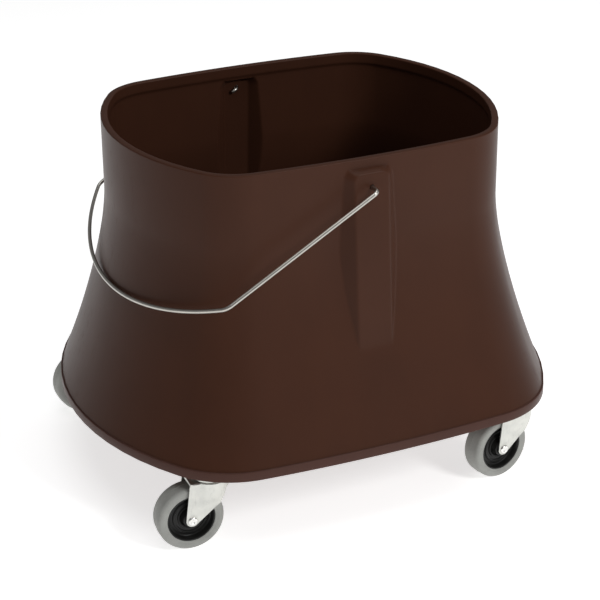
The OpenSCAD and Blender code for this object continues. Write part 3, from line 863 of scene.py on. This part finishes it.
def add_legs(bm, sizes, caster):
    inner = fork_reach(sizes)[0]
    leg = leg_sheet(sizes, caster)
    tidy_rim(leg)
    bmesh.ops.recalc_face_normals(leg, faces=leg.faces[:])
    bmesh.ops.solidify(leg, geom=leg.faces[:], thickness=sizes.sheet)
    lowest = min(vert.co.y for vert in leg.verts)
    bmesh.ops.translate(leg, vec=(0, inner - lowest, 0), verts=leg.verts[:])
    bmesh.ops.recalc_face_normals(leg, faces=leg.faces[:])
    rim = [edge for edge in leg.edges if edge.calc_face_angle(0) > 1.2
           and not all(vert.co.z > sizes.crown_low - 0.01 * MM for vert in edge.verts)]
    soften(leg, rim, 0.55 * MM, 2)
    press_leg(leg, sizes, caster)
    mesh = bpy.data.meshes.new("leg")
    leg.to_mesh(mesh)
    leg.free()
    bm.from_mesh(mesh)
    before = set(bm.verts)
    bm.from_mesh(mesh)
    other = [vert for vert in bm.verts if vert not in before]
    bmesh.ops.scale(bm, vec=(1, -1, 1), verts=other)
    bpy.data.meshes.remove(mesh)


def add_crown(bm, sizes, caster):
    """The flat crown: round in front, straight sides behind, with a bent edge."""
    outer = fork_reach(sizes)[1]
    front = leg_flat(sizes)
    sweep = math.pi - math.atan2(outer, front)
    rear = -caster.trail - 1.5 * MM
    start = bm.verts.new((-front, -outer, sizes.crown_low))
    made = bmesh.ops.spin(bm, geom=[start], cent=(0, 0, sizes.crown_low), axis=(0, 0, 1),
                          dvec=(0, 0, 0), angle=2 * sweep, steps=44, use_merge=False)
    end = next(item for item in made["geom_last"] if isinstance(item, bmesh.types.BMVert))
    back = [bm.verts.new((rear, side * outer, sizes.crown_low)) for side in (-1, 1)]
    bm.edges.new((start, back[0]))
    bm.edges.new((back[0], back[1]))
    bm.edges.new((back[1], end))
    wire = [edge for edge in bm.edges if edge.is_wire]
    face = bmesh.ops.contextual_create(bm, geom=wire)["faces"]
    grown = bmesh.ops.extrude_face_region(bm, geom=face, use_keep_orig=True)["geom"]
    top = [item for item in grown if isinstance(item, bmesh.types.BMVert)]
    bmesh.ops.translate(bm, vec=(0, 0, sizes.crown_thick), verts=top)
    crown_top = sizes.crown_low + sizes.crown_thick
    rim = [edge for edge in edges_where(bm, lambda co: abs(co.z - crown_top) < 0.01 * MM)
           if edge.calc_face_angle(0) > 1]
    soften(bm, rim, 2.2 * MM, 4)


def add_skirt(bm, sizes):
    """The round skirt between the legs, in front"""
    half_angle = math.acos(leg_flat(sizes) / sizes.crown_radius)
    low = sizes.crown_low + sizes.crown_thick - sizes.skirt
    outside, inside = sizes.crown_radius, sizes.crown_radius - sizes.sheet
    corners = [(inside, low), (outside, low), (outside, sizes.crown_low), (inside, sizes.crown_low)]
    aim = Matrix.Rotation(-half_angle, 4, "Z")
    verts = [bm.verts.new(aim @ Vector((radius, 0, z))) for radius, z in corners]
    section = bm.faces.new(verts)
    geom = [section, *section.edges, *section.verts]
    bmesh.ops.spin(bm, geom=geom, cent=(0, 0, 0), axis=(0, 0, 1), dvec=(0, 0, 0),
                   angle=2 * half_angle, steps=24, use_merge=False)


class BUCKET_OT_forks(bpy.types.Operator):
    """Make the four pressed forks"""
    bl_idname = "bucket.forks"
    bl_label = "Forks"

    def execute(self, context):
        sizes = context.scene.bucket_caster
        for corner in CORNERS:
            caster = Caster(corner)
            bm = bmesh.new()
            add_crown(bm, sizes, caster)
            add_skirt(bm, sizes)
            add_legs(bm, sizes, caster)
            bmesh.ops.transform(bm, matrix=caster.swivel_place, verts=bm.verts[:])
            add_piece(corner + "_fork_pressing", bm, corner + "_swivel", "zinc_plate",
                      [corner + "_fork"], sharp=35)
        return {"FINISHED"}


def mirrored(half):
    """A closed outline from its upper half, mirrored in the wheel's middle plane."""
    return half + [(radius, -height) for radius, height in reversed(half)]


def tyre_profile(sizes):
    """The tyre's section: a flat tread with a mould seam, round shoulders and a bead."""
    outside, half = sizes.wheel_radius, sizes.tyre_width / 2
    bore = outside - sizes.tyre_depth
    shoulder = 4.6 * MM
    crown = 0.5 * MM
    seam = [(outside, 0.25 * MM), (outside - 0.25 * MM, 0.6 * MM)]
    tread = [(outside - 0.25 * MM, 3.5 * MM), (outside - crown, half - shoulder - 1 * MM)]
    bend = arc_points((outside - crown - shoulder, half - shoulder), shoulder, 90 - 90, 78, 8)
    wall = [(bore + 3.4 * MM, half - 0.1 * MM), (bore + 2.4 * MM, half - 0.5 * MM),
            (bore + 1.6 * MM, half - 0.35 * MM), (bore + 0.8 * MM, half - 0.5 * MM),
            (bore, half - 1.1 * MM)]
    half_line = seam + tread + bend + wall
    return mirrored(list(reversed(half_line)))


def hub_profile(sizes):
    """The hub's section: rim, dish with two raised rings, and boss round the bushing."""
    rim = sizes.wheel_radius - sizes.tyre_depth
    half = sizes.tyre_width / 2
    face = sizes.hub_width / 2
    bore = sizes.axle_radius + 1.9 * MM
    dish = 4.6 * MM
    line = [(bore, face), (9.2 * MM, face), (9.9 * MM, face - 0.7 * MM), (10.6 * MM, dish + 3.2 * MM)]
    for radius, proud in ((13.5 * MM, 2.6 * MM), (19.5 * MM, 2.2 * MM)):
        line += [(radius - 1.6 * MM, dish + proud * 0.3), (radius - 0.9 * MM, dish + proud * 0.85)]
        line += [(radius, dish + proud), (radius + 0.9 * MM, dish + proud * 0.85)]
        line += [(radius + 1.6 * MM, dish + proud * 0.3)]
    line += [(rim - 4.2 * MM, dish), (rim - 3.2 * MM, dish + 0.6 * MM),
             (rim - 2.0 * MM, half - 2.0 * MM), (rim - 1.2 * MM, half - 1.1 * MM),
             (rim, half - 1.1 * MM)]
    return mirrored(line)


class BUCKET_OT_wheels(bpy.types.Operator):
    """Make the four wheels: a grey tyre on a black hub"""
    bl_idname = "bucket.wheels"
    bl_label = "Wheels"

    def execute(self, context):
        sizes = context.scene.bucket_caster
        for corner in CORNERS:
            caster = Caster(corner)
            for part, profile, slot in (("tyre", tyre_profile(sizes), "grey_tyre"),
                                        ("hub", hub_profile(sizes), "hub_plastic")):
                bm = bmesh.new()
                turn_profile(bm, profile, 96)
                bmesh.ops.transform(bm, matrix=caster.axle_place, verts=bm.verts[:])
                add_piece(f"{corner}_{part}_moulding", bm, corner + "_wheel", slot,
                          [f"{corner}_{part}"], sharp=32)
        return {"FINISHED"}


class BUCKET_OT_axles(bpy.types.Operator):
    """Make the four axle bolts and their nuts"""
    bl_idname = "bucket.axles"
    bl_label = "Axles"

    def execute(self, context):
        sizes = context.scene.bucket_caster
        outer = fork_reach(sizes)[1] + 0.7 * MM
        for corner in CORNERS:
            caster = Caster(corner)
            bolt = bmesh.new()
            head = self.head_profile(sizes, outer)
            turn_profile(bolt, head, 48, closed=False)
            bmesh.ops.transform(bolt, matrix=caster.axle_place, verts=bolt.verts[:])
            add_piece(corner + "_axle_rivet", bolt, corner + "_swivel", "bright_steel",
                      [corner + "_axle_bolt"], sharp=35)
            nut = self.nut(outer)
            bmesh.ops.transform(nut, matrix=caster.axle_place, verts=nut.verts[:])
            add_piece(corner + "_axle_hex_nut", nut, corner + "_swivel", "bright_steel",
                      [corner + "_axle_nut"], sharp=35)
        return {"FINISHED"}

    def head_profile(self, sizes, outer):
        """From the far end of the shank to the middle of the dished head"""
        shank, head = sizes.axle_radius, sizes.head_radius
        end = -outer - 5.4 * MM
        rise = 1.9 * MM
        dome = arc_points((head - rise, outer), rise, 0, 90, 6)
        dish = [(2.6 * MM, outer + rise), (2.1 * MM, outer + rise - 0.5 * MM),
                (0.9 * MM, outer + rise - 0.9 * MM), (0, outer + rise - 0.9 * MM)]
        return [(0, end), (shank - 0.5 * MM, end), (shank, end + 0.5 * MM), (shank, outer)] + dome + dish

    def nut(self, outer):
        """A hexagon nut with turned chamfers"""
        bm = bmesh.new()
        across, tall = 10 * MM, 4.2 * MM
        place = Matrix.Translation((0, 0, -outer - tall / 2))
        corner_radius = across / 2 / math.cos(math.pi / 6)
        bmesh.ops.create_cone(bm, cap_ends=True, segments=6, radius1=corner_radius,
                              radius2=corner_radius, depth=tall, matrix=place)
        ends = [face for face in bm.faces if abs(face.normal.z) > 0.9]
        bmesh.ops.inset_region(bm, faces=ends, thickness=0.9 * MM, depth=0.0)
        rims = [edge for edge in bm.edges if abs(edge.verts[0].co.z - edge.verts[1].co.z) < 0.01 * MM
                and edge.calc_face_angle(0) > 1]
        soften(bm, rims, 0.7 * MM, 3)
        return bm


class BUCKET_OT_races(bpy.types.Operator):
    """Make the upper ball races over the forks"""
    bl_idname = "bucket.races"
    bl_label = "Races"

    def execute(self, context):
        sizes = context.scene.bucket_caster
        for corner in CORNERS:
            caster = Caster(corner)
            low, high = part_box(corner + "_top_race")
            outside, skirt, bend = sizes.race_radius, 2 * MM, 2.4 * MM
            stem = 5.55 * MM
            ceiling = high[2] - 4.2 * MM
            hub_z = ceiling - 1.6 * MM
            profile = [(stem, high[2]), (outside - bend, high[2])]
            profile += arc_points((outside - bend, high[2] - bend), bend, 90, 0, 5)[1:]
            profile += [(outside, low[2] + 0.5 * MM), (outside - 0.5 * MM, low[2]),
                        (outside - skirt, low[2]), (outside - skirt, ceiling),
                        (13.5 * MM, ceiling), (11.9 * MM, hub_z), (stem, hub_z)]
            bm = bmesh.new()
            turn_profile(bm, profile, 72)
            bmesh.ops.transform(bm, matrix=caster.swivel_place, verts=bm.verts[:])
            add_piece(corner + "_race_cup", bm, "bucket", "zinc_plate", [corner + "_top_race"], sharp=35)
        return {"FINISHED"}


class BUCKET_OT_inner_parts(bpy.types.Operator):
    """Give the stems, sockets, balls and other inner parts their finishes"""
    bl_idname = "bucket.inner_parts"
    bl_label = "Inner parts"

    def execute(self, context):
        for part in frame["record"]["subparts"]:
            node = frame["nodes"][part["node"]]
            finish = finish_for(part["material_slot"])
            if not node.material_slots:
                node.data.materials.append(finish)
            for slot in node.material_slots:
                slot.material = finish
        return {"FINISHED"}


# ---------------------------------------------------------------- the stage

def soft_light(name, place, aim, size, power, tint=(1, 1, 1)):
    data = bpy.data.lights.new(name, "AREA")
    data.shape = "RECTANGLE"
    data.size, data.size_y = size
    data.energy = power
    data.color = tint
    light = bpy.data.objects.new(name, data)
    light.location = place
    light.rotation_euler = (Vector(aim) - Vector(place)).to_track_quat("-Z", "Y").to_euler()
    bpy.context.scene.collection.objects.link(light)


class BUCKET_OT_stage(bpy.types.Operator):
    """Make the pale floor, the studio lights and the camera"""
    bl_idname = "bucket.stage"
    bl_label = "Stage"

    def execute(self, context):
        stage = context.scene.bucket_stage
        self.add_floor(stage)
        world = bpy.data.worlds.new("studio")
        context.scene.world = world
        world.use_nodes = True
        backdrop = world.node_tree.nodes["Background"]
        backdrop.inputs["Color"].default_value = (1, 1, 1, 1)
        backdrop.inputs["Strength"].default_value = 0.18
        context.scene.view_settings.view_transform = "Standard"
        soft_light("overhead", (0.0, -0.2, 2.6), (0, 0, 0.2), (2.4, 2.0), 24)
        soft_light("key", (1.1, -2.5, 2.0), (0, 0, 0.25), (0.8, 0.8), 36)
        soft_light("right_front", (2.4, -1.4, 1.0), (0, 0, 0.25), (1.2, 1.2), 4)
        self.add_camera(context, stage)
        return {"FINISHED"}

    def add_floor(self, stage):
        bm = bmesh.new()
        bmesh.ops.create_grid(bm, x_segments=8, y_segments=8, size=12)
        mesh = bpy.data.meshes.new("floor")
        bm.to_mesh(mesh)
        bm.free()
        mesh.materials.append(pale_floor(stage.floor))
        floor = bpy.data.objects.new("floor", mesh)
        floor.location.z = 0
        bpy.context.scene.collection.objects.link(floor)

    def add_camera(self, context, stage):
        yaw, pitch, roll = stage.camera_yaw, stage.camera_pitch, stage.camera_roll
        back = Vector((-math.sin(yaw) * math.cos(pitch), -math.cos(yaw) * math.cos(pitch),
                       math.sin(pitch)))
        right = Vector((math.cos(yaw), -math.sin(yaw), 0))
        up = back.cross(right)
        level_right = math.cos(roll) * right + math.sin(roll) * up
        level_up = -math.sin(roll) * right + math.cos(roll) * up
        aim = Vector((0, 0, (cad_low[2] + cad_high[2]) / 2 + 1 * MM))
        slide_right, slide_up = 0.624 * MM, -29.443 * MM
        slide = slide_right * level_right + slide_up * level_up
        place = aim + stage.camera_distance * back + slide
        data = bpy.data.cameras.new("view")
        data.sensor_width = 36
        data.lens = 112.585
        camera = bpy.data.objects.new("view", data)
        turn = Matrix((level_right, level_up, back)).transposed().to_4x4()
        camera.matrix_world = Matrix.Translation(place) @ turn
        bpy.context.scene.collection.objects.link(camera)
        context.scene.camera = camera


# ---------------------------------------------------------------- add-on

STEPS = (BUCKET_OT_inner_parts, BUCKET_OT_tub, BUCKET_OT_pan, BUCKET_OT_bail, BUCKET_OT_forks,
         BUCKET_OT_wheels, BUCKET_OT_axles, BUCKET_OT_races, BUCKET_OT_stage)
GROUPS = {"bucket_tub": TubSizes, "bucket_bail": BailSizes, "bucket_caster": CasterSizes,
          "bucket_colours": FinishColours, "bucket_stage": StageSettings}


class BUCKET_PT_panel(bpy.types.Panel):
    """Lists the steps that make the wash bucket"""
    bl_idname = "BUCKET_PT_panel"
    bl_label = "Wash bucket"
    bl_space_type = "VIEW_3D"
    bl_region_type = "UI"
    bl_category = "Wash bucket"

    def draw(self, context):
        for step in STEPS:
            self.layout.operator(step.bl_idname)
        for name, group in GROUPS.items():
            box = self.layout.box()
            for prop in group.__annotations__:
                box.prop(getattr(context.scene, name), prop)


CLASSES = (*GROUPS.values(), *STEPS, BUCKET_PT_panel)


def register():
    for item in CLASSES:
        bpy.utils.register_class(item)
    for name, group in GROUPS.items():
        setattr(bpy.types.Scene, name, PointerProperty(type=group))


def unregister():
    for name in GROUPS:
        delattr(bpy.types.Scene, name)
    for item in reversed(CLASSES):
        bpy.utils.unregister_class(item)


def main():
    register()
    for step in STEPS:
        group, action = step.bl_idname.split(".")
        getattr(getattr(bpy.ops, group), action)()
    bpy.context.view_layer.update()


if __name__ == "__main__":
    main()
